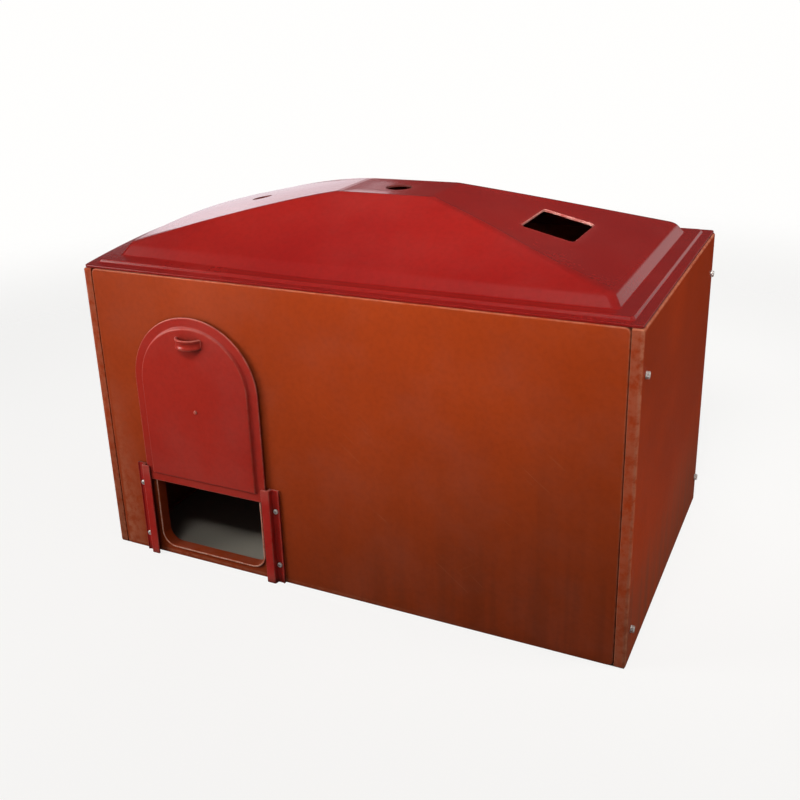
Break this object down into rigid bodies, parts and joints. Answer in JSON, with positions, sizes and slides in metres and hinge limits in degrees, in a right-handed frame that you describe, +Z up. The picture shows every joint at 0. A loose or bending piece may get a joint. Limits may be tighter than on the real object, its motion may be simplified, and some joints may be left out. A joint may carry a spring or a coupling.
{
  "type": "piglet creep box",
  "caption": "Creep box for piglets: bolted pan-shaped wall panels, an arched door sliding up in side rails, and a loose hipped lid with a lamp hole, a vent hole and a window.",
  "frame": {"origin": "bottom centre of the whole part, on the floor; the front wall's face is 284 mm ahead of it and the rear wall's face 316 mm behind it, because the door and its pull stand out 32 mm in front", "axes": "+X to the right along the front, +Y from the doorway to the rear, +Z up"},
  "size_m": [1.0112, 0.632, 0.6753],
  "materials": {
    "wall_plastic": "satin, faintly scratched",
    "lid_plastic": "glossy gelcoat",
    "door_plastic": "glossy gelcoat",
    "rail_plastic": "semi-gloss",
    "zinc_steel": "zinc plated"
  },
  "bodies": {
    "shell": {"front_panel": "wall_plastic", "rear_panel": "wall_plastic", "left_end_panel": "wall_plastic", "right_end_panel": "wall_plastic", "left_rail": "rail_plastic", "right_rail": "rail_plastic", "front_left_bolts": "zinc_steel", "front_right_bolts": "zinc_steel", "rear_left_bolts": "zinc_steel", "rear_right_bolts": "zinc_steel", "front_left_washers": "zinc_steel", "front_right_washers": "zinc_steel", "rear_left_washers": "zinc_steel", "rear_right_washers": "zinc_steel", "front_left_nuts": "zinc_steel", "front_right_nuts": "zinc_steel", "rear_left_nuts": "zinc_steel", "rear_right_nuts": "zinc_steel", "left_rail_screws": "zinc_steel", "right_rail_screws": "zinc_steel", "left_rail_washers": "zinc_steel", "right_rail_washers": "zinc_steel", "left_rail_nuts": "zinc_steel", "right_rail_nuts": "zinc_steel"},
    "lid": {"lid": "lid_plastic"},
    "door": {"door": "door_plastic", "door_pull": "door_plastic"}
  },
  "joints": [
    {"name": "door_slide", "type": "slide", "parent": "shell", "child": "door", "axis": [0, 0, 1], "range_m": [-0.158, 0.015]},
    {"name": "lid_lift", "type": "slide", "parent": "shell", "child": "lid", "axis": [0, 0, 1], "range_m": [0, 0.3]}
  ]
}
